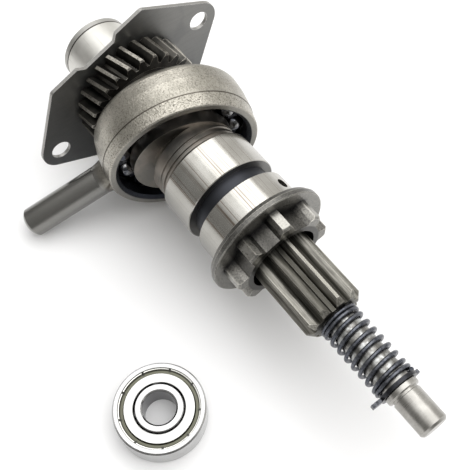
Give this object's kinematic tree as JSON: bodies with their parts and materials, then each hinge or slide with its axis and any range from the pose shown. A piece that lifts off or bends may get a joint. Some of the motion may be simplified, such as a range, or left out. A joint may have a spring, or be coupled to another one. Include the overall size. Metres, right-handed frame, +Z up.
{
  "type": "rotary hammer intermediate shaft with wobble bearing",
  "caption": "Rotary hammer intermediate shaft with rear bearing and plate, helical gear, wobble bearing, shift sleeve, splined pinion, spring and a loose ball bearing.",
  "frame": {"origin": "on the shaft axis, at the front face of the retaining plate", "axes": "+X along the shaft towards the front journal, +Z up, with the shaft level and the plate's lowest corner and the end of the finger at the height of the table"},
  "size_m": [0.1326, 0.0814, 0.045],
  "materials": {
    "plate_steel": "dark satin, stamped sheet",
    "ground_steel": "ground bright",
    "gear_steel": "dark hardened with bright worn tooth edges",
    "forged_steel": "grainy blasted forging",
    "hub_steel": "dark oiled steel",
    "sleeve_steel": "mirror ground, dark fork groove, dull clutch teeth",
    "pinion_steel": "hardened grey brown with bright tips",
    "black_spring": "blue black oxide",
    "bearing_steel": "polished",
    "shield_steel": "plated sheet",
    "cage_steel": "stamped sheet"
  },
  "bodies": {
    "housing_end": {"retaining_plate": "plate_steel", "rear_bearing_sleeve": "ground_steel", "rear_bearing_end_cap": "ground_steel"},
    "rear_roller_set": {"rear_rollers": "bearing_steel", "rear_cage": "cage_steel"},
    "shaft": {"main_shaft": "ground_steel", "rear_thrust_washer": "ground_steel", "helical_gear": "gear_steel", "gear_spacer": "ground_steel", "spring": "black_spring", "retaining_clip": "black_spring", "front_stop_ring": "ground_steel"},
    "hub": {"wobble_hub": "hub_steel"},
    "wobble_ball_set": {"wobble_balls": "bearing_steel", "wobble_cage": "cage_steel"},
    "swash_ring": {"wobble_ring": "forged_steel"},
    "sleeve": {"shift_sleeve": "sleeve_steel"},
    "pinion": {"pinion": "pinion_steel"},
    "loose_outer": {"loose_outer_ring": "bearing_steel", "loose_shield_top": "shield_steel", "loose_shield_bottom": "shield_steel"},
    "loose_ball_set": {"loose_balls": "bearing_steel", "loose_cage": "cage_steel"},
    "loose_inner": {"loose_inner_ring": "bearing_steel"}
  },
  "joints": [
    {"name": "shaft_spin", "type": "hinge", "parent": "housing_end", "child": "shaft", "pos_m": [0, 0, 0], "axis": [1, 0, 0], "continuous": true},
    {"name": "rear_roller_spin", "type": "hinge", "parent": "housing_end", "child": "rear_roller_set", "pos_m": [-0.00865, 0, 0], "axis": [1, 0, 0], "continuous": true},
    {"name": "hub_spin", "type": "hinge", "parent": "housing_end", "child": "hub", "pos_m": [0.0223, 0, 0], "axis": [1, 0, 0], "continuous": true},
    {"name": "wobble_ball_spin", "type": "hinge", "parent": "hub", "child": "wobble_ball_set", "pos_m": [0.0223, 0, 0], "axis": [0.9659, -0.2502, -0.0661], "continuous": true},
    {"name": "wobble_swing", "type": "hinge", "parent": "hub", "child": "swash_ring", "pos_m": [0.0223, 0, 0], "axis": [0.9659, -0.2502, -0.0661], "continuous": true},
    {"name": "sleeve_shift", "type": "slide", "parent": "shaft", "child": "sleeve", "axis": [1, 0, 0], "range_m": [0, 0.005]},
    {"name": "pinion_push", "type": "slide", "parent": "shaft", "child": "pinion", "axis": [1, 0, 0], "range_m": [0, 0.0035], "stiffness_N_per_m": 600, "springref_m": -0.004, "deforming": ["spring"]},
    {"name": "loose_bearing_lift", "type": "slide", "parent": "housing_end", "child": "loose_outer", "axis": [0, 0, 1], "range_m": [0, 0.03]},
    {"name": "loose_inner_spin", "type": "hinge", "parent": "loose_outer", "child": "loose_inner", "pos_m": [0.0721, -0.0416, -0.01905], "axis": [0, 0, 1], "continuous": true},
    {"name": "loose_ball_spin", "type": "hinge", "parent": "loose_outer", "child": "loose_ball_set", "pos_m": [0.0721, -0.0416, -0.01905], "axis": [0, 0, 1], "continuous": true}
  ],
  "couplings": [
    {"joint": "rear_roller_spin", "follows": "shaft_spin", "ratio": 0.4},
    {"joint": "hub_spin", "follows": "shaft_spin", "ratio": 1},
    {"joint": "wobble_ball_spin", "follows": "shaft_spin", "ratio": -0.59},
    {"joint": "wobble_swing", "follows": "shaft_spin", "ratio": -1},
    {"joint": "loose_ball_spin", "follows": "loose_inner_spin", "ratio": 0.368}
  ]
}
